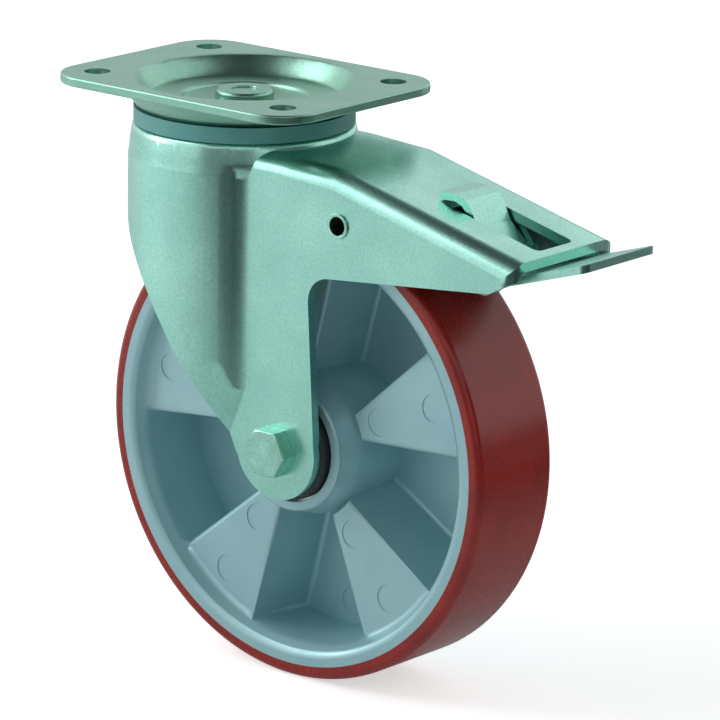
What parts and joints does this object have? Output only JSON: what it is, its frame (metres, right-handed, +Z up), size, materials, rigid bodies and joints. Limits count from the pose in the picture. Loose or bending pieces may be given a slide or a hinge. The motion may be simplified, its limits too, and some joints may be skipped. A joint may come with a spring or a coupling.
{
  "type": "swivel castor",
  "caption": "Heavy swivel castor with a top plate, pressed steel fork, die-cast aluminium wheel with a red-brown polyurethane tread, and a pedal brake that also locks the swivel",
  "frame": {"origin": "Centre of the mounting plate's top face, on the swivel axis", "axes": "+X towards the brake pedal, +Y across the castor to the axle nut's side, +Z up out of the plate"},
  "size_m": [0.2645, 0.104, 0.245],
  "materials": {
    "zinc": "bright zinc plating with a green cast",
    "steel": "plain steel",
    "bearing_steel": "ground steel",
    "aluminium": "bare die casting",
    "polyurethane": "satin, cast",
    "pad_rubber": "matte",
    "rivet_brass": "plain",
    "seal_plastic": "satin",
    "guard_plastic": "matte"
  },
  "bodies": {
    "mount": {"top_plate": "zinc", "kingpin": "zinc", "kingpin_sleeve": "steel", "upper_balls": "bearing_steel", "lock_ring": "steel", "kingpin_washer": "zinc", "kingpin_nut": "zinc"},
    "swivel": {"fork": "zinc", "swivel_seal": "seal_plastic", "lower_balls": "bearing_steel", "pivot_rivets": "zinc", "axle_tube": "steel", "bearing_spacer": "steel", "inner_race_near": "bearing_steel", "inner_race_far": "bearing_steel", "thread_guard_near": "guard_plastic", "thread_guard_far": "guard_plastic", "axle_bolt": "zinc", "axle_washer": "zinc", "axle_nut": "zinc"},
    "wheel": {"wheel_centre": "aluminium", "tread": "polyurethane", "outer_race_near": "bearing_steel", "outer_race_far": "bearing_steel", "bearing_balls_near": "bearing_steel", "bearing_balls_far": "bearing_steel", "bearing_shield_near": "bearing_steel", "bearing_shield_far": "bearing_steel"},
    "brake": {"brake_arm": "steel", "brake_pad": "pad_rubber", "pad_rivets": "rivet_brass", "return_spring": "steel", "pedal_pin": "steel"},
    "pedal": {"brake_pedal": "zinc"}
  },
  "joints": [
    {"name": "swivel", "type": "hinge", "parent": "mount", "child": "swivel", "pos_m": [0, 0, -0.0188], "axis": [0, 0, 1], "continuous": true},
    {"name": "wheel_spin", "type": "hinge", "parent": "swivel", "child": "wheel", "pos_m": [0.048, 0, -0.145], "axis": [0, 1, 0], "continuous": true},
    {"name": "brake_arm_tilt", "type": "hinge", "parent": "swivel", "child": "brake", "pos_m": [0.0803, 0, -0.0445], "axis": [0, 1, 0], "range_deg": [0, 4], "deforming": ["return_spring"]},
    {"name": "pedal_rock", "type": "hinge", "parent": "brake", "child": "pedal", "pos_m": [0.1436, 0, -0.0596], "axis": [0, 1, 0], "range_deg": [0, 26]}
  ],
  "couplings": [
    {"joint": "brake_arm_tilt", "follows": "pedal_rock", "ratio": 0.15385}
  ]
}
